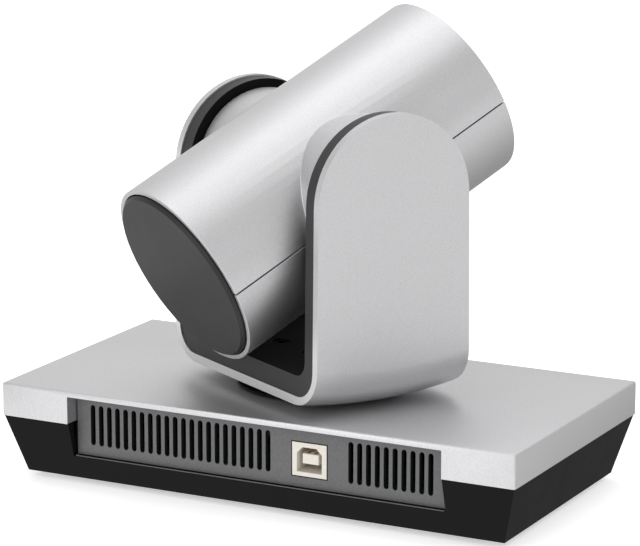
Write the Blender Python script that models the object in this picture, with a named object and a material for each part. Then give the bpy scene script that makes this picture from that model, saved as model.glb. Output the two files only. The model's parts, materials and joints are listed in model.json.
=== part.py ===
"""A desktop pan, tilt and zoom camera: a vented base, a U-shaped yoke that turns on it, and a round
camera barrel that tilts in the yoke. Lengths are millimetres here and metres in the scene.
The front, which the lens faces at pan 0, is -Y. The underside of the base shell is z = 0."""

from math import cos, pi, radians, sin

import bmesh
import bpy
from mathutils import Matrix, Vector

MM = 0.001
GAP = 0.3  # clearance between pieces that move past each other
SEAT = 0.1  # clearance between pieces that sit on each other

# Pose that the part is built in.
PAN = radians(-30.3)
TILT = radians(26.9)

# Base.
BASE_W = 180.0
BASE_D = 95.1
BASE_TOP = 29.9
SKIRT_BOTTOM = 19.0
COVER_WALL = 2.0
SHELL_TAPER = 5.3  # how far each side of the shell leans in from its top to its underside
SHELL_INSET = 0.5
SHELL_FLOOR = 2.2
SHELL_WALL = 1.9
LIP_INSET = 1.8
LIP_T = 1.5
LIP_TOP = 22.0
RECESS_HALF = 65.6
RECESS_FLOOR = 7.7
PANEL_FACE_Y = 41.8
PANEL_T = 2.0
PANEL_STOP = 2.0
FOOT_R = 7.0
FOOT_T = 2.0
FOOT_X = 66.0
FOOT_Y = 24.0
SCREW_X = 78.0
SCREW_Y = 34.0
SCREW_R = 1.5
SCREW_HEAD_R = 3.0
SCREW_HEAD_TOP = 1.1
SCREW_TOP = 14.0
POST_R = 3.6
POST_BOTTOM = 6.0
EDGE_ROUND = 0.7

# Receiver window and indicator light in the front of the cover.
WINDOW_HALF = 24.0
WINDOW_LOW = 20.6
WINDOW_HIGH = 26.6
LED_R = 1.2
LED_X = 34.0
LED_Z = 23.6

# Main board and tripod plate.
BOARD_LOW = 9.8
BOARD_T = 1.6
BOARD_X = 79.0
BOARD_Y = (1.0, 37.4)
BOARD_POSTS = ((-73.0, 6.0), (73.0, 6.0), (-66.0, 31.0), (66.0, 31.0))
BOARD_POST_R = 3.0
SINK_X = 38.0
SINK_Y = (8.0, 34.0)
SINK_FINS = 7
SINK_PITCH = 4.2
SINK_FIN_T = 1.4
SINK_FOOT = 2.0
SINK_H = 7.5
PLATE_X = 22.0
PLATE_Y = 17.0
PLATE_T = 3.0
PLATE_HOLE_Y = 11.5
THREAD_R = 3.2
ANTI_TURN_R = 2.2

# Vents and port of the rear panel, with x as seen on the part.
SLOT_W = 1.75
SLOT_H = 13.4
SLOT_Z = 18.1
SLOT_PITCH = 3.01
LEFT_SLOTS = 22
LEFT_SLOT_X = 59.5
RIGHT_SLOTS = 10
RIGHT_SLOT_X = -32.5
PORT_X = -18.2
PORT_Z = 17.0
PORT_W = 12.0
PORT_H = 10.8
PORT_BACK_Y = 26.6
PORT_PROUD = 0.15
MOUTH_HALF = 4.3
MOUTH_LOW = 13.0
MOUTH_HIGH = 20.9
MOUTH_CHAMFER = 1.9
MOUTH_DEPTH = 9.0
TONGUE_HALF = 2.8
TONGUE_LOW = 15.5
TONGUE_HIGH = 18.7
TONGUE_SET_BACK = 0.9

# Pan drive.
TURNTABLE_R = 26.3
HUB_R = 13.0
HUB_BOTTOM = 6.0
HUB_POCKET = 4.5
HUB_BORE = 7.0
NECK_R = 18.0
TOWER_R = 18.6
TOWER_TOP = 13.0
COLLAR_R = 21.0
BEARING_OUTER = 16.6
BEARING_LOW = 8.0
PAN_MODULE = 0.8
PAN_TEETH = 60
PAN_PINION_TEETH = 12
PAN_GEAR_Z = 20.2
PAN_GEAR_T = 4.0
PAN_LINE = radians(-35.0)  # direction from the pan axis to the pan motor
PAN_MOTOR_R = 9.6
PAN_MOTOR_LOW = 3.6

# Yoke. The head is modelled facing -Y, with the tilt axis along X.
TILT_Z = 96.1
YOKE_HALF = 43.2
YOKE_R = 27.6
YOKE_FLARE = 0.7  # extra half depth at the yoke's foot
YOKE_BOTTOM = 31.2
YOKE_SAG = 2.3
YOKE_CORNER = 13.0
SILVER_T = 2.7
LINER_T = 5.2
LINER_INSET = 0.5
LINER_FLOOR_TOP = 42.7
LINER_FLOOR_LOW = 36.4
LINER_CORNER = 9.0
LINER_INNER_CORNER = 5.0
POCKET_WALL = 1.8
POCKET_RIM = 2.0
POCKET_X = (19.5, 31.0)
POCKET_HALF_Y = 24.0
CHANNEL_HALF_Y = 5.0
YOKE_STATIONS = 8
NECK_SCREW_CIRCLE = 12.6
NECK_SCREW_R = 1.5
NECK_SCREW_HEAD_R = 2.9
NECK_SCREW_SEAT = 40.8
NECK_SCREW_TOP = 42.2
SCREW_HOLE_R = 1.8

# Barrel.
BARREL_R = 31.25
BARREL_WALL = 1.5
FRONT_Y = -55.1
REAR_Y = 55.5
BOSS_R = 24.4
BOSS_HALF = 34.1
BOSS_WALL = 2.0
SEAM = 0.4
CAP_PROUD = 1.45
CAP_EDGE = 0.9
GLASS_R = 24.3
BEZEL_SEAT_R = 24.6
BEZEL_INNER = 22.4
BEZEL_DEPTH = 7.0
AXLE_R = 8.0
AXLE_FLANGE_R = 12.0
AXLE_END = 24.4
CABLE_R = 5.0
BEARING_R = 11.0
TILT_MOTOR_R = 8.0
TILT_MODULE = 7.0 / 9.0
TILT_TEETH = 36
TILT_PINION_TEETH = 9
TILT_GEAR_X = -25.0
TILT_GEAR_T = 4.0

# Zoom block.
HOUSING_R = 20.0
HOUSING_WALL = 2.4
HOUSING_REAR = 2.0
HOUSING_FRONT = -46.0
ROD_X = 13.5
ROD_R = 1.0
GROUP_R = 16.9
FOCUS_Y = -9.0
FOCUS_T = 4.0
FOCUS_LENS_R = 9.0
ZOOM_Y = -25.0
ZOOM_T = 5.0
ZOOM_LENS_R = 11.0
LENS_MOTOR_R = 4.0
LENS_MOTOR_CIRCLE = 24.4
SHROUD_INNER = 17.6


def material(name, colour, roughness, metallic=0.0, transmission=0.0):
    finish = bpy.data.materials.new(name)
    finish.use_nodes = True
    shader = finish.node_tree.nodes["Principled BSDF"]
    shader.inputs["Base Color"].default_value = (*colour, 1.0)
    shader.inputs["Roughness"].default_value = roughness
    shader.inputs["Metallic"].default_value = metallic
    shader.inputs["Transmission Weight"].default_value = transmission
    finish.diffuse_color = (*colour, 1.0)
    return finish


# Shapes. Each returns a bmesh in metres, from sizes in millimetres.


def on_axis(axis, first, second, along):
    """The point with its last coordinate along the axis and the other two in the order X, Y, Z."""
    if axis == "X":
        return Vector((along, first, second)) * MM
    if axis == "Y":
        return Vector((first, along, second)) * MM
    return Vector((first, second, along)) * MM


def box(low, high):
    shape = bmesh.new()
    bmesh.ops.create_cube(shape, size=1.0)
    low, high = Vector(low) * MM, Vector(high) * MM
    shape.transform(Matrix.Translation((low + high) / 2) @ Matrix.Diagonal((*(high - low), 1.0)))
    return shape


def prism(outline, low, high, axis="Z"):
    shape = bmesh.new()
    corners = [shape.verts.new(on_axis(axis, first, second, low)) for first, second in outline]
    face = shape.faces.new(corners)
    swept = bmesh.ops.extrude_face_region(shape, geom=[face])["geom"]
    far_end = [item for item in swept if isinstance(item, bmesh.types.BMVert)]
    bmesh.ops.translate(shape, verts=far_end, vec=on_axis(axis, 0, 0, high - low))
    bmesh.ops.recalc_face_normals(shape, faces=shape.faces)
    return shape


def lathe(profile, axis="Z", steps=32):
    """A closed (radius, along) profile spun round the axis."""
    shape = bmesh.new()
    points = [shape.verts.new(on_axis(axis, radius, 0, along)) for radius, along in profile]
    edges = [
        shape.edges.new((points[index - 1], points[index]))
        for index in range(len(profile))
        if profile[index - 1][0] or profile[index][0]
    ]
    bmesh.ops.spin(
        shape,
        geom=points + edges,
        cent=(0, 0, 0),
        axis=on_axis(axis, 0, 0, 1).normalized(),
        angle=2 * pi,
        steps=steps,
        use_merge=True,
    )
    bmesh.ops.remove_doubles(shape, verts=shape.verts, dist=1e-7)
    bmesh.ops.recalc_face_normals(shape, faces=shape.faces)
    return shape


def rod(radius, low, high, axis="Z", steps=24):
    return lathe([(0, low), (radius, low), (radius, high), (0, high)], axis, steps)


def ring(inner, outer, low, high, axis="Z", steps=32):
    return lathe([(inner, low), (outer, low), (outer, high), (inner, high)], axis, steps)


def loft(sections):
    """Closed loops of equal length, one after the other, with a flat face on each end."""
    shape = bmesh.new()
    loops = [[shape.verts.new(Vector(point) * MM) for point in section] for section in sections]
    for before, after in zip(loops, loops[1:]):
        for index in range(len(before)):
            shape.faces.new((before[index - 1], before[index], after[index], after[index - 1]))
    shape.faces.new(loops[0])
    shape.faces.new(loops[-1])
    bmesh.ops.triangulate(shape, faces=shape.faces)
    bmesh.ops.recalc_face_normals(shape, faces=shape.faces)
    return shape


def moved(shape, offset):
    shape.transform(Matrix.Translation(Vector(offset) * MM))
    return shape


def together(*shapes):
    """One bmesh that holds separate shapes."""
    whole = bmesh.new()
    for shape in shapes:
        mesh = bpy.data.meshes.new("part_of_shape")
        shape.to_mesh(mesh)
        shape.free()
        whole.from_mesh(mesh)
        bpy.data.meshes.remove(mesh)
    return whole


def arc(centre, radius, start, end, steps):
    """Points of an arc, with its angles in degrees."""
    angles = [radians(start + (end - start) * step / steps) for step in range(steps + 1)]
    return [(centre[0] + radius * cos(angle), centre[1] + radius * sin(angle)) for angle in angles]


def rectangle(half_x, half_y, height):
    return [
        (-half_x, -half_y, height),
        (half_x, -half_y, height),
        (half_x, half_y, height),
        (-half_x, half_y, height),
    ]


def gear_outline(module, teeth, phase):
    """Straight-sided teeth with a tooth centred on the phase angle and play on both flanks."""
    pitch_radius = module * teeth / 2
    tooth = 2 * pi / teeth
    corners = []
    for index in range(teeth):
        middle = phase + index * tooth
        for share, radius in (
            (-0.24, pitch_radius - 1.1 * module),
            (-0.10, pitch_radius + 0.75 * module),
            (0.10, pitch_radius + 0.75 * module),
            (0.24, pitch_radius - 1.1 * module),
        ):
            angle = middle + share * tooth
            corners.append((radius * cos(angle), radius * sin(angle)))
    return corners


def cross_outline(reach, half):
    return [
        (-half, -reach),
        (half, -reach),
        (half, -half),
        (reach, -half),
        (reach, half),
        (half, half),
        (half, reach),
        (-half, reach),
        (-half, half),
        (-reach, half),
        (-reach, -half),
        (-half, -half),
    ]


# Objects.


def place(name, shape, finish, parent=None, at=(0, 0, 0)):
    mesh = bpy.data.meshes.new(name)
    shape.to_mesh(mesh)
    shape.free()
    mesh.materials.append(finish)
    piece = bpy.data.objects.new(name, mesh)
    piece.location = Vector(at) * MM
    piece.parent = parent
    bpy.context.scene.collection.objects.link(piece)
    return piece


def change(piece, operation, label, shape):
    """Adds a Boolean by a hidden helper that shares the piece's place."""
    colour = piece.data.materials[0]
    helper = place(f"{piece.name}_{label}", shape, colour, piece.parent, piece.location / MM)
    helper.hide_render = True
    helper.display_type = "WIRE"
    modifier = piece.modifiers.new(label, "BOOLEAN")
    modifier.operation = operation
    modifier.solver = "EXACT"
    modifier.object = helper
    return piece


def cut(piece, label, *shapes):
    return change(piece, "DIFFERENCE", label, together(*shapes))


def fuse(piece, label, *shapes):
    for index, shape in enumerate(shapes):
        change(piece, "UNION", f"{label}_{index + 1}", shape)
    return piece


def keep(piece, label, shape):
    return change(piece, "INTERSECT", label, shape)


def axis_empty(name, at, turn, parent=None):
    empty = bpy.data.objects.new(name, None)
    empty.location = Vector(at) * MM
    empty.rotation_euler = turn
    empty.parent = parent
    bpy.context.scene.collection.objects.link(empty)
    return empty


def corners_of(half_x, half_y):
    return [(sign_x * half_x, sign_y * half_y) for sign_x in (-1, 1) for sign_y in (-1, 1)]


# Base.


def base_cover(silver):
    body = box((-BASE_W / 2, -BASE_D / 2, SKIRT_BOTTOM), (BASE_W / 2, BASE_D / 2, BASE_TOP))
    upper = [edge for edge in body.edges if max(vert.co.z for vert in edge.verts) > (BASE_TOP - 1) * MM]
    bmesh.ops.bevel(body, geom=upper, offset=EDGE_ROUND * MM, segments=2, profile=0.5, affect="EDGES")
    piece = place("base_cover", body, silver)
    inner_x, inner_y = BASE_W / 2 - COVER_WALL, BASE_D / 2 - COVER_WALL
    under = BASE_TOP - COVER_WALL
    cut(piece, "hollow", box((-inner_x, -inner_y, SKIRT_BOTTOM - 1), (inner_x, inner_y, under)))
    fuse(piece, "return_wall", *[
        box((min(side), PANEL_FACE_Y - PANEL_T, SKIRT_BOTTOM), (max(side), inner_y + 1, under + 1))
        for side in (
            (RECESS_HALF, RECESS_HALF + COVER_WALL),
            (-RECESS_HALF - COVER_WALL, -RECESS_HALF),
        )
    ])
    fuse(piece, "screw_post", *[
        moved(rod(POST_R, POST_BOTTOM, under + 1, steps=16), (x, y, 0))
        for x, y in corners_of(SCREW_X, SCREW_Y)
    ])
    cut(
        piece,
        "openings",
        box((-RECESS_HALF, inner_y - 1, SKIRT_BOTTOM - 1), (RECESS_HALF, BASE_D / 2 + 1, under)),
        box((-WINDOW_HALF, -BASE_D / 2 - 1, WINDOW_LOW), (WINDOW_HALF, -inner_y + 1, WINDOW_HIGH)),
        rod(COLLAR_R + 0.5, under - 1, BASE_TOP + 1, steps=40),
        moved(rod(LED_R + SEAT, -BASE_D / 2 - 1, -inner_y + 1, "Y", 16), (LED_X, 0, LED_Z)),
        *[
            moved(rod(SCREW_HOLE_R, POST_BOTTOM - 1, SKIRT_BOTTOM - 1, steps=12), (x, y, 0))
            for x, y in corners_of(SCREW_X, SCREW_Y)
        ],
    )
    return piece


def base_shell(black):
    top = SKIRT_BOTTOM - SEAT
    half_x, half_y = BASE_W / 2 - SHELL_INSET, BASE_D / 2 - SHELL_INSET
    lip_x, lip_y = half_x - LIP_INSET, half_y - LIP_INSET
    body = loft([
        rectangle(half_x - SHELL_TAPER, half_y - SHELL_TAPER, 0),
        rectangle(half_x, half_y, top),
        rectangle(lip_x, lip_y, top),
        rectangle(lip_x, lip_y, LIP_TOP),
    ])
    piece = place("base_shell", body, black)
    inset = SHELL_TAPER * (1 - SHELL_FLOOR / top) + SHELL_WALL
    cut(piece, "hollow", loft([
        rectangle(half_x - inset, half_y - inset, SHELL_FLOOR),
        rectangle(lip_x - LIP_T, lip_y - LIP_T, top - 3),
        rectangle(lip_x - LIP_T, lip_y - LIP_T, LIP_TOP + 1),
    ]))
    back_y = PANEL_FACE_Y - PANEL_T - SEAT
    return_x = RECESS_HALF + COVER_WALL + GAP
    fuse(
        piece,
        "fitting",
        box(
            (-RECESS_HALF - PANEL_STOP, back_y - PANEL_STOP, 1),
            (RECESS_HALF + PANEL_STOP, half_y - SHELL_TAPER, top - 1),
        ),
        rod(TOWER_R, 1, TOWER_TOP, steps=32),
        *[moved(rod(BOARD_POST_R, 1, BOARD_LOW - SEAT, steps=12), (x, y, 0)) for x, y in BOARD_POSTS],
    )
    cut(
        piece,
        "openings",
        box((-RECESS_HALF, back_y, RECESS_FLOOR), (RECESS_HALF, BASE_D, LIP_TOP + 1)),
        rod(HUB_R + 2 * GAP, HUB_POCKET, TOWER_TOP + 1, steps=32),
        box((-PLATE_X - SEAT, -PLATE_Y - SEAT, -1), (PLATE_X + SEAT, PLATE_Y + SEAT, PLATE_T + SEAT)),
        *[moved(rod(SCREW_HOLE_R, -1, 4, steps=12), (x, y, 0)) for x, y in corners_of(SCREW_X, SCREW_Y)],
    )
    cut(
        piece,
        "seats",
        box(
            (-RECESS_HALF + PANEL_STOP, back_y - PANEL_STOP - 1, RECESS_FLOOR + PANEL_STOP),
            (RECESS_HALF - PANEL_STOP, back_y + 1, LIP_TOP + 1),
        ),
        rod(BEARING_OUTER + SEAT, BEARING_LOW, TOWER_TOP + 1, steps=32),
        *[
            moved(rod(SCREW_HEAD_R + 0.4, -1, SCREW_HEAD_TOP + SEAT, steps=16), (x, y, 0))
            for x, y in corners_of(SCREW_X, SCREW_Y)
        ],
    )
    return cut(piece, "lip_gap", box((-return_x, back_y - 1, top), (return_x, BASE_D, LIP_TOP + 1)))


def slot(x):
    half = SLOT_W / 2
    straight = SLOT_H / 2 - half
    outline = arc((x, SLOT_Z + straight), half, 0, 180, 4)
    outline += arc((x, SLOT_Z - straight), half, 180, 360, 4)
    return prism(outline, PANEL_FACE_Y - PANEL_T - 1, PANEL_FACE_Y + 1, "Y")


def rear_io_panel(grey):
    side = RECESS_HALF - GAP
    body = box(
        (-side, PANEL_FACE_Y - PANEL_T, RECESS_FLOOR + GAP),
        (side, PANEL_FACE_Y, BASE_TOP - COVER_WALL - GAP),
    )
    piece = place("rear_io_panel", body, grey)
    left = [slot(LEFT_SLOT_X - SLOT_PITCH * index) for index in range(LEFT_SLOTS)]
    right = [slot(RIGHT_SLOT_X - SLOT_PITCH * index) for index in range(RIGHT_SLOTS)]
    half_w, half_h = PORT_W / 2 + 2 * SEAT, PORT_H / 2 + 2 * SEAT
    port = box(
        (PORT_X - half_w, PANEL_FACE_Y - PANEL_T - 1, PORT_Z - half_h),
        (PORT_X + half_w, PANEL_FACE_Y + 1, PORT_Z + half_h),
    )
    return cut(piece, "openings", *left, *right, port)


def usb_port(white):
    front = PANEL_FACE_Y + PORT_PROUD
    body = box(
        (PORT_X - PORT_W / 2, PORT_BACK_Y, PORT_Z - PORT_H / 2),
        (PORT_X + PORT_W / 2, front, PORT_Z + PORT_H / 2),
    )
    housing = place("usb_housing", body, white)
    mouth = [
        (PORT_X - MOUTH_HALF, MOUTH_LOW),
        (PORT_X + MOUTH_HALF, MOUTH_LOW),
        (PORT_X + MOUTH_HALF, MOUTH_HIGH - MOUTH_CHAMFER),
        (PORT_X + MOUTH_HALF - MOUTH_CHAMFER, MOUTH_HIGH),
        (PORT_X - MOUTH_HALF + MOUTH_CHAMFER, MOUTH_HIGH),
        (PORT_X - MOUTH_HALF, MOUTH_HIGH - MOUTH_CHAMFER),
    ]
    cut(housing, "mouth", prism(mouth, front - MOUTH_DEPTH, front + 1, "Y"))
    tongue = box(
        (PORT_X - TONGUE_HALF, front - MOUTH_DEPTH + SEAT, TONGUE_LOW),
        (PORT_X + TONGUE_HALF, front - TONGUE_SET_BACK, TONGUE_HIGH),
    )
    return housing, place("usb_tongue", tongue, white)


def main_board(green):
    body = box((-BOARD_X, BOARD_Y[0], BOARD_LOW), (BOARD_X, BOARD_Y[1], BOARD_LOW + BOARD_T))
    piece = place("main_board", body, green)
    posts = [rod(POST_R + 0.8, BOARD_LOW - 1, BOARD_LOW + BOARD_T + 1) for _ in range(2)]
    return cut(
        piece,
        "clearances",
        rod(TOWER_R + 1, BOARD_LOW - 1, BOARD_LOW + BOARD_T + 1, steps=32),
        moved(posts[0], (-SCREW_X, SCREW_Y, 0)),
        moved(posts[1], (SCREW_X, SCREW_Y, 0)),
    )


def heat_sink(metal):
    low = BOARD_LOW + BOARD_T + SEAT
    width = SINK_PITCH * (SINK_FINS - 1) + SINK_FIN_T
    outline = [(SINK_X, low), (SINK_X + width, low)]
    for index in reversed(range(SINK_FINS)):
        left = SINK_X + SINK_PITCH * index
        outline += [(left + SINK_FIN_T, low + SINK_H), (left, low + SINK_H)]
        if index:
            outline += [(left, low + SINK_FOOT), (left - SINK_PITCH + SINK_FIN_T, low + SINK_FOOT)]
    return place("heat_sink", prism(outline, *SINK_Y, "Y"), metal)


def front_windows(smoke, light):
    face = -BASE_D / 2
    body = box(
        (-WINDOW_HALF + SEAT, face, WINDOW_LOW + SEAT),
        (WINDOW_HALF - SEAT, face + COVER_WALL, WINDOW_HIGH - SEAT),
    )
    window = place("ir_window", body, smoke)
    pipe = moved(rod(LED_R, face, face + COVER_WALL + 0.5, "Y", 16), (LED_X, 0, LED_Z))
    return window, place("status_led", pipe, light)


def feet_and_screws(rubber, steel):
    foot_profile = [(0, -FOOT_T), (FOOT_R - 0.4, -FOOT_T), (FOOT_R, -SEAT / 2), (0, -SEAT / 2)]
    screw_profile = [
        (0, 0.15),
        (SCREW_HEAD_R, 0.15),
        (SCREW_HEAD_R, SCREW_HEAD_TOP),
        (SCREW_R, SCREW_HEAD_TOP),
        (SCREW_R, SCREW_TOP),
        (0, SCREW_TOP),
    ]
    for index, (x, y) in enumerate(corners_of(FOOT_X, FOOT_Y)):
        place(f"rubber_foot_{index + 1}", moved(lathe(foot_profile, steps=24), (x, y, 0)), rubber)
    for index, (x, y) in enumerate(corners_of(SCREW_X, SCREW_Y)):
        screw = place(f"base_screw_{index + 1}", moved(lathe(screw_profile, steps=14), (x, y, 0)), steel)
        cut(screw, "drive", moved(prism(cross_outline(1.7, 0.35), 0, 0.8), (x, y, 0)))


def tripod_plate(steel):
    body = box((-PLATE_X, -PLATE_Y, 0), (PLATE_X, PLATE_Y, PLATE_T))
    piece = place("tripod_plate", body, steel)
    return cut(
        piece,
        "holes",
        moved(rod(THREAD_R, -1, PLATE_T + 1), (0, PLATE_HOLE_Y, 0)),
        moved(rod(ANTI_TURN_R, -1, PLATE_T + 1), (0, -PLATE_HOLE_Y, 0)),
    )


def pan_bearing(steel):
    race = ring(HUB_R + GAP, BEARING_OUTER, BEARING_LOW + SEAT, TOWER_TOP - SEAT, steps=32)
    return place("pan_bearing", race, steel)


def pan_distance():
    return PAN_MODULE * (PAN_TEETH + PAN_PINION_TEETH) / 2


def pan_drive(steel, brass):
    """The motor stands on the shell's floor beside the pan axis, and its pinion turns the pan gear."""
    x, y = pan_distance() * cos(PAN_LINE), pan_distance() * sin(PAN_LINE)
    top = PAN_GEAR_Z - 0.9
    can = [
        (0, PAN_MOTOR_LOW),
        (PAN_MOTOR_R - 0.6, PAN_MOTOR_LOW),
        (PAN_MOTOR_R, PAN_MOTOR_LOW + 0.6),
        (PAN_MOTOR_R, top),
        (4.0, top),
        (4.0, top + 0.5),
        (0, top + 0.5),
    ]
    motor = place("pan_motor", moved(lathe(can, steps=28), (x, y, 0)), steel)
    tooth = 2 * pi / PAN_PINION_TEETH
    outline = gear_outline(PAN_MODULE, PAN_PINION_TEETH, PAN_LINE + pi + tooth / 2)
    pinion = place("pan_pinion", prism(outline, 0, PAN_GEAR_T + 0.6), brass, at=(x, y, PAN_GEAR_Z - 0.1))
    return motor, pinion


# Yoke, in the frame of the pan axis.


def turntable(black):
    """The disc that the yoke stands on, its hub down into the base and its neck up into the yoke."""
    top = LINER_FLOOR_LOW - SEAT
    gear_top = PAN_GEAR_Z + PAN_GEAR_T
    profile = [
        (HUB_BORE, HUB_BOTTOM),
        (HUB_R, HUB_BOTTOM),
        (HUB_R, gear_top + SEAT),
        (COLLAR_R, gear_top + 1.0),
        (COLLAR_R, BASE_TOP + GAP),
        (TURNTABLE_R, BASE_TOP + GAP),
        (TURNTABLE_R, YOKE_BOTTOM - SEAT),
        (NECK_R, YOKE_BOTTOM - SEAT),
        (NECK_R, top),
        (HUB_BORE, top),
    ]
    piece = place("turntable", lathe(profile, steps=48), black, pan_axis)
    holes = [moved(rod(SCREW_HOLE_R, BASE_TOP - 1, top + 1, steps=8), spot) for spot in neck_screws()]
    return cut(piece, "screw_holes", *holes)


def neck_screws():
    turns = [pi / 4 + pi / 2 * index for index in range(4)]
    return [(NECK_SCREW_CIRCLE * cos(turn), NECK_SCREW_CIRCLE * sin(turn), 0) for turn in turns]


def pan_gear(plastic):
    phase = PAN_LINE - PAN
    gear = prism(gear_outline(PAN_MODULE, PAN_TEETH, phase), PAN_GEAR_Z, PAN_GEAR_Z + PAN_GEAR_T)
    piece = place("pan_gear", gear, plastic, pan_axis)
    return cut(piece, "bore", rod(HUB_R + SEAT, PAN_GEAR_Z - 1, PAN_GEAR_Z + PAN_GEAR_T + 1, steps=32))


def arm_outline(radius, low, flare=YOKE_FLARE):
    """The yoke seen from its side: a round top over slightly spreading sides."""
    foot = radius + flare
    return [(-foot, low), (foot, low)] + arc((0, TILT_Z), radius, 0, 180, 32)


def u_section(y, half, low, corner, inner_half, inner_low, inner_corner, top=130.0):
    """The outline of a U at one depth, outer side first."""
    outer = arc((-half + corner, low + corner), corner, 180, 270, 8)
    outer += arc((half - corner, low + corner), corner, 270, 360, 8)
    inner = arc((inner_half - inner_corner, inner_low + inner_corner), inner_corner, 360, 270, 6)
    inner += arc((-inner_half + inner_corner, inner_low + inner_corner), inner_corner, 270, 180, 6)
    outline = [(-half, top)] + outer + [(half, top), (inner_half, top)] + inner + [(-inner_half, top)]
    return [(x, y, z) for x, z in outline]


def yoke_shell(silver):
    reach = YOKE_R + YOKE_FLARE + 2
    inner = YOKE_HALF - SILVER_T
    inner_low = LINER_FLOOR_LOW - SEAT
    sections = []
    for index in range(YOKE_STATIONS + 1):
        y = reach * (2 * index / YOKE_STATIONS - 1)
        low = YOKE_BOTTOM + YOKE_SAG * (y / (YOKE_R + YOKE_FLARE)) ** 2
        sections.append(u_section(y, YOKE_HALF, low, YOKE_CORNER, inner, inner_low, LINER_CORNER))
    piece = place("yoke_shell", loft(sections), silver, pan_axis)
    keep(piece, "side_outline", prism(arm_outline(YOKE_R, YOKE_BOTTOM - 3), -60, 60, "X"))
    return cut(piece, "neck_hole", rod(NECK_R + SEAT, YOKE_BOTTOM - 3, LINER_FLOOR_LOW + 2, steps=32))


def yoke_liner(dark):
    outer = YOKE_HALF - SILVER_T - SEAT
    inner = outer - LINER_T
    reach = YOKE_R + YOKE_FLARE + 2
    sections = [
        u_section(y, outer, LINER_FLOOR_LOW, LINER_CORNER, inner, LINER_FLOOR_TOP, LINER_INNER_CORNER)
        for y in (-reach, reach)
    ]
    piece = place("yoke_liner", loft(sections), dark, pan_axis)
    radius = YOKE_R - LINER_INSET
    keep(piece, "side_outline", prism(arm_outline(radius, LINER_FLOOR_LOW - 3), -60, 60, "X"))
    pocket = arm_outline(radius - POCKET_RIM, LINER_FLOOR_TOP + 6)
    near, far = POCKET_X
    floor_pocket_top = LINER_FLOOR_TOP - POCKET_WALL
    under = [
        box((low, -POCKET_HALF_Y, LINER_FLOOR_LOW - 1), (high, POCKET_HALF_Y, floor_pocket_top))
        for low, high in ((near, far), (-far, -near))
    ]
    head_hole_low = NECK_SCREW_SEAT - 2 * SEAT
    cut(
        piece,
        "pockets",
        prism(pocket, inner + POCKET_WALL, outer + 5, "X"),
        prism(pocket, -outer - 5, -inner - POCKET_WALL, "X"),
        *under,
        *[
            moved(rod(SCREW_HOLE_R, LINER_FLOOR_LOW - 1, NECK_SCREW_SEAT + 2 * SEAT, steps=8), spot)
            for spot in neck_screws()
        ],
    )
    channel_low = (-near - 1, -CHANNEL_HALF_Y, LINER_FLOOR_LOW - 1)
    cut(piece, "cable_channel", box(channel_low, (near + 1, CHANNEL_HALF_Y, floor_pocket_top)))
    return cut(
        piece,
        "holes",
        moved(rod(AXLE_R + SEAT, -60, 60, "X", 24), (0, 0, TILT_Z)),
        *[
            moved(rod(NECK_SCREW_HEAD_R + GAP, head_hole_low, LINER_FLOOR_TOP + 1, steps=14), spot)
            for spot in neck_screws()
        ],
    )


def neck_screw_set(steel):
    profile = [
        (0, BASE_TOP + 0.1),
        (NECK_SCREW_R, BASE_TOP + 0.1),
        (NECK_SCREW_R, NECK_SCREW_SEAT),
        (NECK_SCREW_HEAD_R, NECK_SCREW_SEAT),
        (NECK_SCREW_HEAD_R, NECK_SCREW_TOP),
        (0, NECK_SCREW_TOP),
    ]
    for index, spot in enumerate(neck_screws()):
        screw = place(f"neck_screw_{index + 1}", moved(lathe(profile, steps=14), spot), steel, pan_axis)
        hexagon = arc((0, 0), NECK_SCREW_HEAD_R / 2, 0, 300, 5)
        socket = prism(hexagon, NECK_SCREW_SEAT + 0.6, NECK_SCREW_TOP + 1)
        cut(screw, "drive", moved(socket, spot))


def axles(steel):
    """Hollow axles that stand on the inner walls of the arms and carry the barrel's bearings."""
    wall = YOKE_HALF - SILVER_T - SEAT - LINER_T + POCKET_WALL
    profile = [
        (CABLE_R, AXLE_END),
        (AXLE_R, AXLE_END),
        (AXLE_R, wall + SEAT),
        (AXLE_FLANGE_R, wall + SEAT),
        (AXLE_FLANGE_R, wall + 2.4),
        (CABLE_R, wall + 2.4),
    ]
    left = place("tilt_axle_left", moved(lathe(profile, "X", 24), (0, 0, TILT_Z)), steel, pan_axis)
    mirrored = [(radius, -along) for radius, along in profile]
    right = place("tilt_axle_right", moved(lathe(mirrored, "X", 24), (0, 0, TILT_Z)), steel, pan_axis)
    return left, right


def tilt_gear(plastic):
    """The gear on the right axle stays with the yoke, and the barrel's pinion rolls round it."""
    phase = -TILT
    outline = gear_outline(TILT_MODULE, TILT_TEETH, phase)
    gear = prism(outline, TILT_GEAR_X - TILT_GEAR_T, TILT_GEAR_X, "X")
    piece = place("tilt_gear", moved(gear, (0, 0, TILT_Z)), plastic, pan_axis)
    bore = rod(AXLE_R + SEAT, TILT_GEAR_X - TILT_GEAR_T - 1, TILT_GEAR_X + 1, "X", 24)
    return cut(piece, "bore", moved(bore, (0, 0, TILT_Z)))


# Barrel, in the frame of the tilt axis, with the lens towards -Y.


def barrel_shell(name, side, silver):
    """Half of the tube, with its half of both round bosses on the tilt axis."""
    piece = place(name, rod(BARREL_R, FRONT_Y, REAR_Y, "Y", 64), silver, tilt_axis)
    fuse(piece, "bosses", rod(BOSS_R, -BOSS_HALF, BOSS_HALF, "X", 56))
    cut(
        piece,
        "inside",
        rod(BARREL_R - BARREL_WALL, FRONT_Y - 5, REAR_Y + 5, "Y", 48),
    )
    cut(
        piece,
        "boss_inside",
        rod(BOSS_R - BOSS_WALL, -BOSS_HALF + BOSS_WALL, BOSS_HALF - BOSS_WALL, "X", 40),
    )
    cut(piece, "axle_hole", rod(BEARING_R + SEAT, -60, 60, "X", 24))
    near, far = sorted((side * SEAM / 2, side * 60))
    keep(piece, "half", box((-60, FRONT_Y - 10, near), (60, REAR_Y + 10, far)))
    return piece


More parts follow.
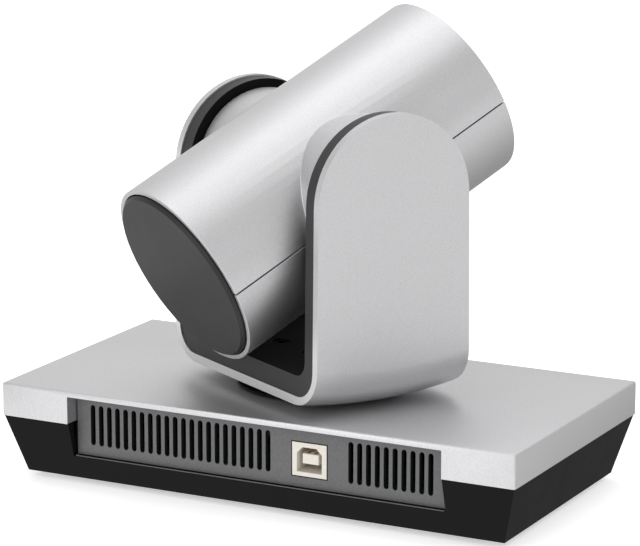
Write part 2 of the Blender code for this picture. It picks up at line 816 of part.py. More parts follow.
def rear_cap(dark):
    radius = BARREL_R - BARREL_WALL - GAP
    face = REAR_Y + CAP_PROUD
    profile = [
        (0, REAR_Y - 1.5),
        (radius - 2.5, REAR_Y - 1.5),
        (radius - 2.5, REAR_Y - 6),
        (radius, REAR_Y - 6),
        (radius, face - CAP_EDGE),
        (radius - CAP_EDGE, face),
        (0, face),
    ]
    return place("rear_cap", lathe(profile, "Y", 48), dark, tilt_axis)


def front_bezel(black):
    radius = BARREL_R - BARREL_WALL - GAP
    profile = [
        (BEZEL_INNER, FRONT_Y + BEZEL_DEPTH),
        (radius, FRONT_Y + BEZEL_DEPTH),
        (radius, FRONT_Y + 0.6),
        (radius - 0.8, FRONT_Y - 0.2),
        (BEZEL_SEAT_R, FRONT_Y + 3.0),
        (BEZEL_SEAT_R, FRONT_Y + 4.6),
        (BEZEL_INNER, FRONT_Y + 4.6),
    ]
    return place("front_bezel", lathe(profile, "Y", 48), black, tilt_axis)


def front_glass(glass):
    return place("front_glass", rod(GLASS_R, FRONT_Y + 3.1, FRONT_Y + 4.5, "Y", 40), glass, tilt_axis)


def lens_shroud(black):
    """A shallow black cone behind the bezel that hides the inside of the tube."""
    radius = BARREL_R - BARREL_WALL - GAP
    front = FRONT_Y + BEZEL_DEPTH + SEAT
    rear = HOUSING_FRONT - SEAT
    profile = [
        (radius, front),
        (BEZEL_INNER, front),
        (SHROUD_INNER, rear - 0.8),
        (SHROUD_INNER, rear),
        (radius, rear),
    ]
    return place("lens_shroud", lathe(profile, "Y", 48), black, tilt_axis)


def lens_block(black, glass, green):
    inner = HOUSING_R - HOUSING_WALL
    profile = [
        (8.0, HOUSING_REAR),
        (HOUSING_R, HOUSING_REAR),
        (HOUSING_R, HOUSING_FRONT),
        (inner, HOUSING_FRONT),
        (inner, HOUSING_REAR - 2.0),
        (8.0, HOUSING_REAR - 2.0),
    ]
    place("lens_housing", lathe(profile, "Y", 28), black, tilt_axis)
    retainer = ring(13.2, inner - SEAT, HOUSING_FRONT, HOUSING_FRONT + 2.0, "Y", 28)
    place("lens_retainer", retainer, black, tilt_axis)
    dome = [(0, HOUSING_FRONT + 7.5)] + [
        (radius, HOUSING_FRONT + 2.2 + (radius / (inner - SEAT)) ** 2 * 1.6)
        for radius in (inner - 0.2, 13.0, 8.0, 3.0, 0.0)
    ]
    dome.insert(1, (inner - 0.2, HOUSING_FRONT + 7.5))
    place("front_element", lathe(dome, "Y", 28), glass, tilt_axis)
    half = HOUSING_R - 3
    board = box((-half, HOUSING_REAR + 2.0, -half), (half, HOUSING_REAR + 2.0 + BOARD_T, half))
    place("sensor_board", board, green, tilt_axis)


def guide_rods(steel):
    for index, sign in enumerate((-1, 1)):
        shape = rod(ROD_R, HOUSING_FRONT + 7.8, HOUSING_REAR - 2.1, "Y", 10)
        moved(shape, (sign * ROD_X, 0, 0))
        place(f"guide_rod_{index + 1}", shape, steel, tilt_axis)


def lens_group(name, y, thickness, lens_radius, black, glass):
    """A carrier that slides on the guide rods, with its lens."""
    half = thickness / 2
    body = ring(lens_radius + SEAT, GROUP_R, -half, half, "Y", 24)
    carrier = place(f"{name}_carrier", body, black, tilt_axis, (0, y, 0))
    cut(carrier, "rod_holes", *[
        moved(rod(ROD_R + 2 * SEAT, -half - 1, half + 1, "Y", 10), (sign * ROD_X, 0, 0)) for sign in (-1, 1)
    ])
    bulge = 0.8
    profile = [
        (0, -half - bulge),
        (lens_radius * 0.6, -half - bulge * 0.6),
        (lens_radius, -half + 0.4),
        (lens_radius, half - 0.4),
        (lens_radius * 0.6, half + bulge * 0.6),
        (0, half + bulge),
    ]
    return carrier, place(f"{name}_lens", lathe(profile, "Y", 24), glass, tilt_axis, (0, y, 0))


def lens_motors(steel):
    """Small motors on the housing that drive the two lens groups."""
    for name, turn in (("zoom_motor", radians(60)), ("focus_motor", radians(120))):
        spot = (LENS_MOTOR_CIRCLE * cos(turn), 0, LENS_MOTOR_CIRCLE * sin(turn))
        place(name, moved(rod(LENS_MOTOR_R, -26, -12, "Y", 16), spot), steel, tilt_axis)


def lens_bracket(metal):
    body = box((-11.5, -40, -27.0), (11.5, -8, -HOUSING_R - 2 * SEAT))
    return place("lens_bracket", body, metal, tilt_axis)


def image_board(green):
    piece = place("image_board", box((-19, 36, -19), (19, 36 + BOARD_T, 19)), green, tilt_axis)
    return cut(piece, "cable_hole", rod(4.0, 35, 39, "Y", 20))


def tilt_drive(steel, brass):
    """The motor rides in the barrel behind the lens block, beside the fixed gear."""
    distance = TILT_MODULE * (TILT_TEETH + TILT_PINION_TEETH) / 2
    can = [
        (0, -7.0),
        (TILT_MOTOR_R - 0.6, -7.0),
        (TILT_MOTOR_R, -7.6),
        (TILT_MOTOR_R, TILT_GEAR_X + 0.6),
        (0, TILT_GEAR_X + 0.6),
    ]
    motor = place("tilt_motor", moved(lathe(can, "X", 24), (0, distance, 0)), steel, tilt_axis)
    tooth = 2 * pi / TILT_PINION_TEETH
    outline = gear_outline(TILT_MODULE, TILT_PINION_TEETH, pi + tooth / 2)
    pinion = prism(outline, -TILT_GEAR_T, 0.4, "X")
    return motor, place("tilt_pinion", pinion, brass, tilt_axis, (TILT_GEAR_X, distance, 0))


def tilt_bearings(steel):
    for name, sign in (("tilt_bearing_left", 1), ("tilt_bearing_right", -1)):
        low, high = sorted((sign * (BOSS_HALF - 2.6), sign * (BOSS_HALF - 0.1)))
        place(name, ring(AXLE_R + GAP, BEARING_R, low, high, "X", 24), steel, tilt_axis)


for startup_object in list(bpy.data.objects):
    bpy.data.objects.remove(startup_object)

silver_paint = material("silver_paint", (0.62, 0.62, 0.63), 0.42, 0.35)
black_plastic = material("black_plastic", (0.018, 0.018, 0.02), 0.5)
dark_plastic = material("dark_plastic", (0.075, 0.075, 0.08), 0.45)
panel_grey = material("panel_grey", (0.16, 0.16, 0.165), 0.55)
port_white = material("port_white", (0.75, 0.71, 0.64), 0.45)
rubber = material("rubber", (0.02, 0.02, 0.02), 0.85)
steel = material("steel", (0.55, 0.55, 0.56), 0.35, 1.0)
black_steel = material("black_steel", (0.05, 0.05, 0.055), 0.45, 1.0)
brass = material("brass", (0.70, 0.52, 0.25), 0.35, 1.0)
aluminium = material("aluminium", (0.70, 0.70, 0.72), 0.4, 1.0)
circuit_green = material("circuit_green", (0.02, 0.14, 0.06), 0.5)
smoked_window = material("smoked_window", (0.03, 0.015, 0.02), 0.1)
lens_glass = material("lens_glass", (0.85, 0.9, 0.95), 0.02, 0.0, 1.0)
gear_white = material("gear_white", (0.72, 0.72, 0.68), 0.5)

pan_axis = axis_empty("pan_axis", (0, 0, 0), (0, 0, PAN))
tilt_axis = axis_empty("tilt_axis", (0, 0, TILT_Z), (-TILT, 0, 0), pan_axis)

base_cover(silver_paint)
base_shell(black_plastic)
rear_io_panel(panel_grey)
usb_port(port_white)
main_board(circuit_green)
heat_sink(aluminium)
front_windows(smoked_window, gear_white)
feet_and_screws(rubber, steel)
tripod_plate(steel)
pan_bearing(steel)
pan_drive(steel, brass)

turntable(black_plastic)
pan_gear(gear_white)
yoke_shell(silver_paint)
yoke_liner(dark_plastic)
neck_screw_set(black_steel)
axles(steel)
tilt_gear(gear_white)

barrel_shell("barrel_upper_shell", 1, silver_paint)
barrel_shell("barrel_lower_shell", -1, silver_paint)
rear_cap(dark_plastic)
front_bezel(black_plastic)
front_glass(lens_glass)
lens_shroud(black_plastic)
lens_block(black_plastic, lens_glass, circuit_green)
guide_rods(steel)
lens_group("focus_group", FOCUS_Y, FOCUS_T, FOCUS_LENS_R, black_plastic, lens_glass)
lens_group("zoom_group", ZOOM_Y, ZOOM_T, ZOOM_LENS_R, black_plastic, lens_glass)
lens_motors(steel)
lens_bracket(aluminium)
image_board(circuit_green)
tilt_drive(steel, brass)
tilt_bearings(steel)
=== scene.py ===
"""Looks of a desktop pan, tilt and zoom camera: a vented base, a U-shaped yoke and a round barrel.
Everything is in metres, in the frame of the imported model, which this script never moves or resizes."""

import json
from math import cos, pi, radians, sin

import bmesh
import bpy
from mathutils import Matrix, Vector


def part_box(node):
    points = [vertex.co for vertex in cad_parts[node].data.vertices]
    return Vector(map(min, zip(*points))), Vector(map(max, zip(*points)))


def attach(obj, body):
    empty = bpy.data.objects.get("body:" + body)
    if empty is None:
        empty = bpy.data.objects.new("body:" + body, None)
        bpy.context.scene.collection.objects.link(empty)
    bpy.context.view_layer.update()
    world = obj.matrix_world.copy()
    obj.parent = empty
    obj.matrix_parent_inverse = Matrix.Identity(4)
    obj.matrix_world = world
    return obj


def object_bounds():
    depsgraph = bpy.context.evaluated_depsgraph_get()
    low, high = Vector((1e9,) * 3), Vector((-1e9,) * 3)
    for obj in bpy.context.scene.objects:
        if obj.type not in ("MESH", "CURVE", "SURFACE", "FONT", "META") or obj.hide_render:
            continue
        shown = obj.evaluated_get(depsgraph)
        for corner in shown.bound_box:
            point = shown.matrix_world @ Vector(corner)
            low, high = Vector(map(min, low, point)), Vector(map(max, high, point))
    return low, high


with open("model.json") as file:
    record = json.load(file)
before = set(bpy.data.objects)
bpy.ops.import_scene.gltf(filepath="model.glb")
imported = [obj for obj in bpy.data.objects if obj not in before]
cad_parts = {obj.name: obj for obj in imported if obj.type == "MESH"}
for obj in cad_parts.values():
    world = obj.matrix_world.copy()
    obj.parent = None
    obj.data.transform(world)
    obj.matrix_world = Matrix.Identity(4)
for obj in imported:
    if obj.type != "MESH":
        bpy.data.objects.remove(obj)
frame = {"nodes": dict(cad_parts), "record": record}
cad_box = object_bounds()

MM = 0.001
NODES = frame["nodes"]
RECORD = frame["record"]

# Directions at rest: from arm to arm along the tilt axis, and out of the front of the U.
TILT_AXIS = Vector(next(joint for joint in RECORD["behaviour"]["joints"] if joint["name"] == "tilt")["axis"])
YOKE_FRONT = Vector((-TILT_AXIS.y, TILT_AXIS.x, 0.0))
# The heights between which the inside of the U turns from its floor, painted flat black as shade, to its grey
# round rim.
RIM_LOW = 60 * MM
RIM_HIGH = 80 * MM

# Camera: where it stands and looks, its lens and sensor in millimetres, and how far it sees.
CAMERA_AT = (-0.46508, 0.89664, 0.30181)
CAMERA_AIM = (-0.00015, -0.00008, 0.06561)
CAMERA_LENS = 183.41
SENSOR_WIDTH = 36.0
VIEW_END = 50.0

# Light: where each soft panel is, its width and height, and its power in watts. All look at one spot.
PANEL_AIM = (0.0, 0.0, 0.07)
PANELS = {
    "top_panel": ((0.0, 0.0, 1.4), (1.2, 1.2), 5.1),
    "side_panel": ((0.56, -0.25, 1.26), (0.9, 0.9), 0.9),
    "high_panel": ((-0.6, 1.2, 1.0), (0.9, 0.9), 2.3),
    "rear_left_panel": ((0.5, 1.4, 0.5), (0.9, 0.9), 4.7),
    "rear_right_panel": ((-1.3, 0.7, 0.5), (0.9, 0.9), 0.6),
    "front_panel": ((0.6, -1.4, 0.5), (1.2, 0.9), 0.4),
}
# The surroundings' light behind and in front of the object, from straight down (0) over the horizon (0.5) to
# straight up (1).
REAR_LIGHT = ((0.20, 1.20), (0.46, 1.43), (0.54, 0.36), (0.70, 0.87), (0.90, 0.33))
FRONT_LIGHT = ((0.20, 0.25), (0.46, 0.67), (0.54, 0.76), (0.70, 0.74), (0.90, 1.23))
# Where the light turns from the front's to the rear's, from full front (-1) to full rear (1).
FRONT_END = -0.9
REAR_START = 0.3
FLOOR_GLOW = 0.5
FLOOR_HALF = 6.0


# Materials.

# The range that most of a noise's values lie in.
NOISE_MIDDLE = (0.3, 0.7)
# How squarely a face looks along a direction where it starts to count, and where it counts in full.
LOOKS_ALONG = (0.35, 0.6)
LOOKS_SQUARELY = (0.85, 0.95)
# Painted shade: the flat black and its roughness, laid on faces in the vent slots and inside the U where
# shade falls.
PAINTED_SHADE_BLACK = (0.001, 0.001, 0.001)
PAINTED_SHADE_ROUGHNESS = 0.95
# Painted highlight: the brighter paint laid on the end faces of the yoke's arms.
PAINTED_HIGHLIGHT = (0.74, 0.74, 0.74)
# How far the roughness of plastic and of metal strays, and how dark a drawn line in metal is.
MOULDED_SPREAD = 0.02
MACHINED_SPREAD = 0.08
LINE_SHADE = 0.86


def finish(name, colour, roughness, metallic=0.0, **sockets):
    """A Principled material with its uniform values set on the shader itself."""
    made = bpy.data.materials.new(name)
    made.use_nodes = True
    shader = made.node_tree.nodes["Principled BSDF"]
    shader.inputs["Base Color"].default_value = (*colour, 1.0)
    shader.inputs["Roughness"].default_value = roughness
    shader.inputs["Metallic"].default_value = metallic
    for socket, value in sockets.items():
        shader.inputs[socket.replace("_", " ")].default_value = value
    made.diffuse_color = (*colour, 1.0)
    return made


def noise(made, scale, detail=2.0, stretch=(1, 1, 1)):
    """A noise that sticks to the piece, with its scale in features per metre."""
    tree = made.node_tree
    coordinates = tree.nodes.new("ShaderNodeTexCoord")
    mapping = tree.nodes.new("ShaderNodeMapping")
    mapping.inputs["Scale"].default_value = stretch
    texture = tree.nodes.new("ShaderNodeTexNoise")
    texture.inputs["Scale"].default_value = scale
    texture.inputs["Detail"].default_value = detail
    tree.links.new(coordinates.outputs["Object"], mapping.inputs["Vector"])
    tree.links.new(mapping.outputs["Vector"], texture.inputs["Vector"])
    return texture.outputs["Fac"]


def map_range(tree, value, start, end, low=0.0, high=1.0):
    """Maps the range from start to end to the range from low to high, and stops at both ends."""
    node = tree.nodes.new("ShaderNodeMapRange")
    node.inputs["From Min"].default_value = start
    node.inputs["From Max"].default_value = end
    node.inputs["To Min"].default_value = low
    node.inputs["To Max"].default_value = high
    tree.links.new(value, node.inputs["Value"])
    return node.outputs["Result"]


def calculate(tree, operation, *values):
    """A calculation with plain numbers and other nodes' outputs."""
    node = tree.nodes.new("ShaderNodeMath")
    node.operation = operation
    for socket, value in zip(node.inputs, values):
        if isinstance(value, float):
            socket.default_value = value
        else:
            tree.links.new(value, socket)
    return node.outputs["Value"]


def spread(made, factor, low, high):
    """Maps the middle of a noise to the range from low to high."""
    return map_range(made.node_tree, factor, *NOISE_MIDDLE, low, high)


def colour_between(made, factor, first, second):
    """Goes from the first colour to the second over the middle of a noise."""
    ramp = made.node_tree.nodes.new("ShaderNodeValToRGB")
    for step, position, colour in zip(ramp.color_ramp.elements, NOISE_MIDDLE, (first, second)):
        step.position = position
        step.color = (*colour, 1.0)
    made.node_tree.links.new(factor, ramp.inputs["Fac"])
    return ramp.outputs["Color"]


def feed(made, socket, output):
    """Drives a socket of the shader."""
    made.node_tree.links.new(output, made.node_tree.nodes["Principled BSDF"].inputs[socket])


def bump(made, height, depth):
    """Relief with its depth in metres."""
    node = made.node_tree.nodes.new("ShaderNodeBump")
    node.inputs["Distance"].default_value = depth
    node.inputs["Strength"].default_value = 1.0
    made.node_tree.links.new(height, node.inputs["Height"])
    feed(made, "Normal", node.outputs["Normal"])


def silver_paint():
    """Satin paint with fine metal flakes."""
    made = finish("silver_paint", (0.62, 0.62, 0.63), 0.45, 0.9)
    flakes = noise(made, 2600, 3.0)
    feed(made, "Base Color", colour_between(made, flakes, (0.58, 0.58, 0.59), (0.67, 0.67, 0.68)))
    feed(made, "Roughness", spread(made, noise(made, 60), 0.44, 0.46))
    bump(made, flakes, 0.004 * MM)
    return made


def moulded(name, colour, roughness, grain, depth, shift=0.12, shine=0.5):
    """Moulded plastic with an even grain: so many features per metre, and its depth in millimetres."""
    made = finish(name, colour, roughness, Specular_IOR_Level=shine)
    texture = noise(made, grain, 3.0)
    light = tuple(value * (1 + shift) for value in colour)
    dark = tuple(value * (1 - shift) for value in colour)
    feed(made, "Base Color", colour_between(made, texture, dark, light))
    low, high = roughness - MOULDED_SPREAD, roughness + MOULDED_SPREAD
    feed(made, "Roughness", spread(made, noise(made, 90), low, high))
    bump(made, texture, depth * MM)
    return made


def facing(made, direction, span):
    """0 on faces that stand across the piece's own direction, 1 on faces that look along it."""
    tree = made.node_tree
    coordinates = tree.nodes.new("ShaderNodeTexCoord")
    product = tree.nodes.new("ShaderNodeVectorMath")
    product.operation = "DOT_PRODUCT"
    product.inputs[1].default_value = direction
    tree.links.new(coordinates.outputs["Normal"], product.inputs[0])
    return map_range(tree, calculate(tree, "ABSOLUTE", product.outputs["Value"]), *span)


def recolour(made, factor, colour, flipped=False):
    """Mixes another colour in where the factor is 1, or where it is 0 when flipped."""
    tree = made.node_tree
    shader = tree.nodes["Principled BSDF"]
    old, new = ("B", "A") if flipped else ("A", "B")
    mix = tree.nodes.new("ShaderNodeMix")
    mix.data_type = "RGBA"
    mix.inputs[new].default_value = (*colour, 1.0)
    tree.links.new(shader.inputs["Base Color"].links[0].from_socket, mix.inputs[old])
    tree.links.new(factor, mix.inputs["Factor"])
    feed(made, "Base Color", mix.outputs["Result"])


def painted_end_highlight(made, direction):
    """Paints a highlight: makes the paint brighter on the faces that look squarely along the direction."""
    recolour(made, facing(made, direction, LOOKS_SQUARELY), PAINTED_HIGHLIGHT)
    return made


def paint_shade(made, kept):
    """Paints shade: makes the faces where kept is 0 flat black, and leaves those where it is 1."""
    tree = made.node_tree
    recolour(made, kept, PAINTED_SHADE_BLACK, flipped=True)
    roughness = tree.nodes["Principled BSDF"].inputs["Roughness"].default_value
    feed(made, "Roughness", map_range(tree, kept, 0.0, 1.0, PAINTED_SHADE_ROUGHNESS, roughness))
    return made


def panel_with_painted_slot_shade():
    """Grey plastic with painted shade: the walls of its slots are painted flat black."""
    made = moulded("panel_with_painted_slot_shade", (0.12, 0.12, 0.124), 0.5, 1500, 0.03)
    return paint_shade(made, facing(made, (0, 1, 0), LOOKS_ALONG))


def liner_painted_shade():
    """Dark plastic with painted shade: the inner sides and the floor of the U are painted flat black. Its
    ends and rim stay grey.
    """
    made = moulded("liner_painted_shade", (0.036, 0.036, 0.038), 0.42, 2600, 0.006, shine=0.25)
    tree = made.node_tree
    coordinates = tree.nodes.new("ShaderNodeTexCoord")
    split = tree.nodes.new("ShaderNodeSeparateXYZ")
    tree.links.new(coordinates.outputs["Object"], split.inputs["Vector"])
    high = map_range(tree, split.outputs["Z"], RIM_LOW, RIM_HIGH)
    round_rim = calculate(tree, "SUBTRACT", 1.0, facing(made, TILT_AXIS, LOOKS_ALONG))
    high_rim = calculate(tree, "MULTIPLY", high, round_rim)
    ends = facing(made, YOKE_FRONT, LOOKS_ALONG)
    return paint_shade(made, calculate(tree, "MAXIMUM", ends, high_rim))


def machined(name, colour, roughness, stretch=(1, 1, 12)):
    """Bare metal with fine drawn lines."""
    made = finish(name, colour, roughness, 1.0)
    lines = noise(made, 900, 4.0, stretch)
    dark = tuple(value * LINE_SHADE for value in colour)
    feed(made, "Base Color", colour_between(made, lines, dark, colour))
    feed(made, "Roughness", spread(made, lines, roughness - MACHINED_SPREAD, roughness + MACHINED_SPREAD))
    bump(made, lines, 0.01 * MM)
    return made


def circuit_green():
    """Solder mask over copper areas and tracks."""
    made = finish("circuit_green", (0.01, 0.06, 0.03), 0.4)
    tree = made.node_tree
    cells = tree.nodes.new("ShaderNodeTexVoronoi")
    cells.distance = "MANHATTAN"
    cells.inputs["Scale"].default_value = 260
    coordinates = tree.nodes.new("ShaderNodeTexCoord")
    tree.links.new(coordinates.outputs["Object"], cells.inputs["Vector"])
    over_copper, plain_mask = (0.014, 0.08, 0.04), (0.007, 0.045, 0.022)
    feed(made, "Base Color", colour_between(made, cells.outputs["Distance"], over_copper, plain_mask))
    feed(made, "Roughness", spread(made, noise(made, 200), 0.32, 0.45))
    bump(made, cells.outputs["Distance"], 0.02 * MM)
    return made


def smoked_window():
    """Dark red plastic that lets a remote control's light in."""
    made = finish("smoked_window", (0.03, 0.008, 0.012), 0.08, Coat_Weight=0.3)
    feed(made, "Roughness", spread(made, noise(made, 150), 0.05, 0.12))
    bump(made, noise(made, 25), 0.01 * MM)
    return made


def lens_glass():
    """Clear glass with a faint coating."""
    made = finish(
        "lens_glass",
        (0.93, 0.96, 1.0),
        0.02,
        Transmission_Weight=1.0,
        IOR=1.6,
        Thin_Film_Thickness=115.0,
        Thin_Film_IOR=1.38,
    )
    feed(made, "Roughness", spread(made, noise(made, 120), 0.01, 0.04))
    return made


MATERIALS = {
    "silver_paint": silver_paint(),
    "black_plastic": moulded("black_plastic", (0.004, 0.004, 0.0045), 0.5, 2200, 0.02, shine=0.1),
    "dark_plastic": moulded("dark_plastic", (0.030, 0.030, 0.032), 0.42, 2600, 0.006),
    "panel_grey": moulded("panel_grey", (0.12, 0.12, 0.124), 0.5, 1500, 0.03),
    "port_white": moulded("port_white", (0.75, 0.71, 0.64), 0.4, 1200, 0.01, 0.04),
    "rubber": moulded("rubber", (0.02, 0.02, 0.02), 0.8, 1200, 0.04),
    "steel": machined("steel", (0.55, 0.55, 0.56), 0.35),
    "black_steel": machined("black_steel", (0.008, 0.008, 0.009), 0.6),
    "brass": machined("brass", (0.72, 0.53, 0.24), 0.32),
    "aluminium": machined("aluminium", (0.72, 0.72, 0.74), 0.38),
    "circuit_green": circuit_green(),
    "smoked_window": smoked_window(),
    "lens_glass": lens_glass(),
    "gear_white": moulded("gear_white", (0.72, 0.72, 0.68), 0.45, 1200, 0.01, 0.04),
}
# Pieces with a finish of their own.
OWN_FINISH = {
    # The walls of the vent slots carry painted shade.
    "rear_io_panel": panel_with_painted_slot_shade(),
    # The inside of the U carries painted shade.
    "yoke_liner": liner_painted_shade(),
    "rear_cap": moulded("cap", (0.018, 0.018, 0.019), 0.42, 2600, 0.006, shine=0.3),
    # The ends of the yoke's arms carry a painted highlight.
    "yoke_shell": painted_end_highlight(silver_paint(), YOKE_FRONT),
    "heat_sink": machined("black_anodised", (0.02, 0.02, 0.02), 0.5),
}


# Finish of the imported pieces: how wide the rounding of their edges is, in millimetres.

ROUNDING = {
    "base_cover": 0.35,
    "base_shell": 0.4,
    "rear_io_panel": 0.15,
    "usb_housing": 0.15,
    "usb_tongue": 0.15,
    "ir_window": 0.2,
    "yoke_shell": 0.45,
    "yoke_liner": 0.4,
    "turntable": 0.3,
    "barrel_upper_shell": 0.2,
    "barrel_lower_shell": 0.2,
    "rear_cap": 0.2,
    "front_bezel": 0.2,
    "tripod_plate": 0.3,
}
FINE_ROUNDING = 0.12
SHARP = radians(28)
WELD_REACH = 1e-6


def refine(node, width):
    """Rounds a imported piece's sharp edges and shades its round faces smooth."""
    mesh = node.data
    if "custom_normal" in mesh.attributes:
        mesh.attributes.remove(mesh.attributes["custom_normal"])
    mesh.shade_smooth()
    weld = node.modifiers.new("weld", "WELD")
    weld.merge_threshold = WELD_REACH
    edges = node.modifiers.new("rounded_edges", "BEVEL")
    edges.width = width * MM
    edges.segments = 3
    edges.limit_method = "ANGLE"
    edges.angle_limit = SHARP
    edges.harden_normals = True
    edges.miter_outer = "MITER_ARC"


for entry in RECORD["subparts"]:
    node = NODES[entry["node"]]
    node.data.materials.clear()
    node.data.materials.append(OWN_FINISH.get(entry["node"], MATERIALS[entry["material_slot"]]))
    refine(node, ROUNDING.get(entry["node"], FINE_ROUNDING))


# Small trim on the base, and a light bead that is a painted highlight, in millimetres.

CONTACT_WIDTH = 1.0
CONTACT_THICK = 0.12
CONTACT_SHIFT = 1.25
CONTACT_BACK = 0.1
CONTACT_BEND = 0.7
CONTACT_TIP = 0.35
GASKET_WIDTH = 0.3
GASKET_SUNK = 0.02
GASKET_PROUD = 0.06
# Sizes of the light grey bead that is a painted highlight along the foot of the recess.
LIP_RADIUS = 0.2
LIP_OUT = 1.75
LIP_GAP = 0.3
LIP_SUNK = 0.15
LIP_CORNER = (0.2, 0.25)


def piece_of(name, mesh, slot):
    """A small piece with the finish of a slot, riding on the base."""
    bmesh.ops.recalc_face_normals(mesh, faces=mesh.faces)
    data = bpy.data.meshes.new(name)
    mesh.to_mesh(data)
    mesh.free()
    made = bpy.data.objects.new(name, data)
    bpy.context.scene.collection.objects.link(made)
    data.materials.append(MATERIALS[slot])
    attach(made, "base")


def join_loops(mesh, pairs):
    """Joins the two loops of each pair with a belt of faces."""
    for first, second in pairs:
        for step in range(len(first)):
            after = (step + 1) % len(first)
            mesh.faces.new((first[step], first[after], second[after], second[step]))


def bead(name, path, radius, slot, steps=10):
    """A round bead along an open path."""
    mesh = bmesh.new()
    rings = []
    for index, spot in enumerate(path):
        before = path[max(index - 1, 0)]
        after = path[min(index + 1, len(path) - 1)]
        along = (Vector(after) - Vector(before)).normalized()
        side = along.cross(Vector((0, 0, 1)))
        ring = []
        for step in range(steps):
            turn = 2 * pi * step / steps
            offset = side * cos(turn) + Vector((0, 0, sin(turn)))
            ring.append(mesh.verts.new((Vector(spot) + offset * radius) * MM))
        rings.append(ring)
    join_loops(mesh, zip(rings, rings[1:]))
    mesh.faces.new(rings[0])
    mesh.faces.new(list(reversed(rings[-1])))
    piece_of(name, mesh, slot)


def frame_ring(name, low, high, width, front, back, slot):
    """A flat rectangular ring that stands round an opening, between two heights along Y."""
    mesh = bmesh.new()
    loops = []
    for grow, y in ((0, front), (width, front), (width, back), (0, back)):
        corners = [
            (low[0] - grow, y, low[1] - grow),
            (high[0] + grow, y, low[1] - grow),
            (high[0] + grow, y, high[1] + grow),
            (low[0] - grow, y, high[1] + grow),
        ]
        loops.append([mesh.verts.new(Vector(corner) * MM) for corner in corners])
    join_loops(mesh, zip(loops, loops[1:] + loops[:1]))
    piece_of(name, mesh, slot)


def port_contacts():
    """Four contact strips, two on each flat side of the port's tongue, with their tips turned in."""
    mesh = bmesh.new()
    low, high = (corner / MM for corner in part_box("usb_tongue"))
    middle = (low.x + high.x) / 2
    profile = [
        (low.y + CONTACT_BACK, 0.0),
        (low.y + CONTACT_BACK, CONTACT_THICK),
        (high.y - CONTACT_BEND, CONTACT_THICK),
        (high.y - CONTACT_TIP, CONTACT_THICK / 4),
        (high.y - CONTACT_TIP, 0.0),
    ]
    for side, face in ((1, high.z), (-1, low.z)):
        for shift in (-CONTACT_SHIFT, CONTACT_SHIFT):
            left, right = (
                [mesh.verts.new(Vector((middle + shift + edge, y, face + side * z)) * MM) for y, z in profile]
                for edge in (-CONTACT_WIDTH / 2, CONTACT_WIDTH / 2)
            )
            mesh.faces.new(left)
            mesh.faces.new(list(reversed(right)))
            join_loops(mesh, [(left, right)])
    piece_of("port_contacts", mesh, "brass")


def port_gasket(face):
    """The thin dark line round the port, on the panel's face."""
    low, high = (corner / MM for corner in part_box("usb_housing"))
    frame_ring(
        "port_gasket",
        (low.x, low.z),
        (high.x, high.z),
        GASKET_WIDTH,
        face - GASKET_SUNK,
        face + GASKET_PROUD,
        "black_plastic",
    )


def lip_painted_highlight(panel_low, panel_high):
    """A painted highlight: a thin light grey bead that stands for the light on the edge along the foot of the
    recess, with its ends turned in to the panel.
    """
    side, out, up = panel_high.x - LIP_GAP, panel_high.y + LIP_OUT, panel_low.z - LIP_SUNK
    half = [
        (side - LIP_CORNER[0], out, up),
        (side, out - LIP_CORNER[1], up),
        (side, panel_high.y + LIP_GAP, up),
    ]
    other_half = [(-x, y, z) for x, y, z in reversed(half)]
    bead("lip_painted_highlight", other_half + half, LIP_RADIUS, "panel_grey")


panel_box = [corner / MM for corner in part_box("rear_io_panel")]
port_contacts()
port_gasket(panel_box[1].y)
# A painted highlight along the foot of the recess.
lip_painted_highlight(*panel_box)


# Stage.


def aim(at, target):
    """The rotation of a light or a camera that looks from one spot at another."""
    return (Vector(target) - Vector(at)).to_track_quat("-Z", "Y").to_euler()


def panel_light(name, at, size, power):
    """A soft rectangular light."""
    data = bpy.data.lights.new(name, "AREA")
    data.shape = "RECTANGLE"
    data.size, data.size_y = size
    data.energy = power
    light = bpy.data.objects.new(name, data)
    light.location = at
    light.rotation_euler = aim(at, PANEL_AIM)
    bpy.context.scene.collection.objects.link(light)


def level_ramp(tree, height, levels):
    """A grey that follows the height through its levels."""
    ramp = tree.nodes.new("ShaderNodeValToRGB")
    steps = ramp.color_ramp.elements
    steps[0].position = levels[0][0]
    steps[1].position = levels[-1][0]
    for position, _ in levels[1:-1]:
        steps.new(position)
    for step, (_, level) in zip(steps, levels):
        step.color = (level, level, level, 1.0)
    tree.links.new(height, ramp.inputs["Fac"])
    return ramp.outputs["Color"]


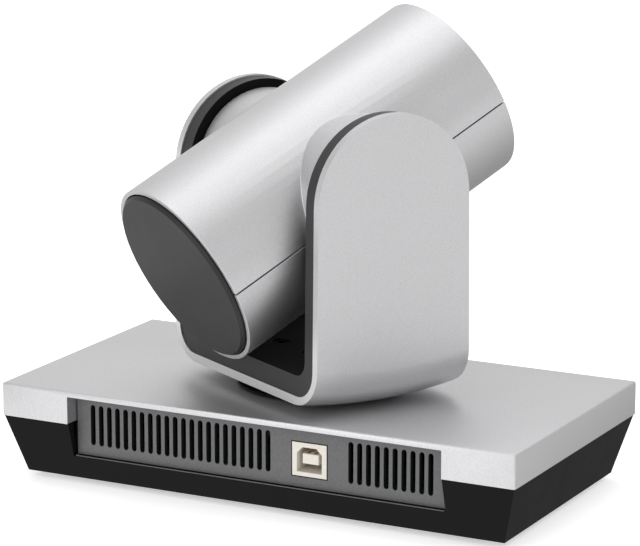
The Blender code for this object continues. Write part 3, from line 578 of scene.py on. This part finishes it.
def surroundings():
    """Plain light from all round that changes with the height, and from the front to the rear."""
    world = bpy.data.worlds.new("studio")
    world.use_nodes = True
    tree = world.node_tree
    coordinates = tree.nodes.new("ShaderNodeTexCoord")
    split = tree.nodes.new("ShaderNodeSeparateXYZ")
    tree.links.new(coordinates.outputs["Generated"], split.inputs["Vector"])
    height = map_range(tree, split.outputs["Z"], -1.0, 1.0)
    mix = tree.nodes.new("ShaderNodeMix")
    mix.data_type = "RGBA"
    tree.links.new(map_range(tree, split.outputs["Y"], FRONT_END, REAR_START), mix.inputs["Factor"])
    tree.links.new(level_ramp(tree, height, FRONT_LIGHT), mix.inputs["A"])
    tree.links.new(level_ramp(tree, height, REAR_LIGHT), mix.inputs["B"])
    tree.links.new(mix.outputs["Result"], tree.nodes["Background"].inputs["Color"])
    bpy.context.scene.world = world


def pale_floor():
    """A plain pale floor at the feet that neither lights the object nor shows in it."""
    low = cad_box[0].z
    corners = [(-1, -1), (1, -1), (1, 1), (-1, 1)]
    mesh = bpy.data.meshes.new("floor")
    mesh.from_pydata([(x * FLOOR_HALF, y * FLOOR_HALF, low) for x, y in corners], [], [(0, 1, 2, 3)])
    glow = {"Emission_Color": (1, 1, 1, 1), "Emission_Strength": FLOOR_GLOW}
    mesh.materials.append(finish("floor", (0.9, 0.9, 0.9), 0.9, **glow))
    floor = bpy.data.objects.new("floor", mesh)
    bpy.context.scene.collection.objects.link(floor)
    floor.visible_diffuse = False
    floor.visible_glossy = False


def camera():
    """The camera at the photograph's angle."""
    data = bpy.data.cameras.new("camera")
    data.lens = CAMERA_LENS
    data.sensor_width = SENSOR_WIDTH
    data.clip_end = VIEW_END
    view = bpy.data.objects.new("camera", data)
    view.location = CAMERA_AT
    view.rotation_euler = aim(CAMERA_AT, CAMERA_AIM)
    bpy.context.scene.collection.objects.link(view)
    bpy.context.scene.camera = view


surroundings()
for name, (at, size, power) in PANELS.items():
    panel_light(name, at, size, power)
pale_floor()
camera()
bpy.context.scene.view_settings.view_transform = "Standard"
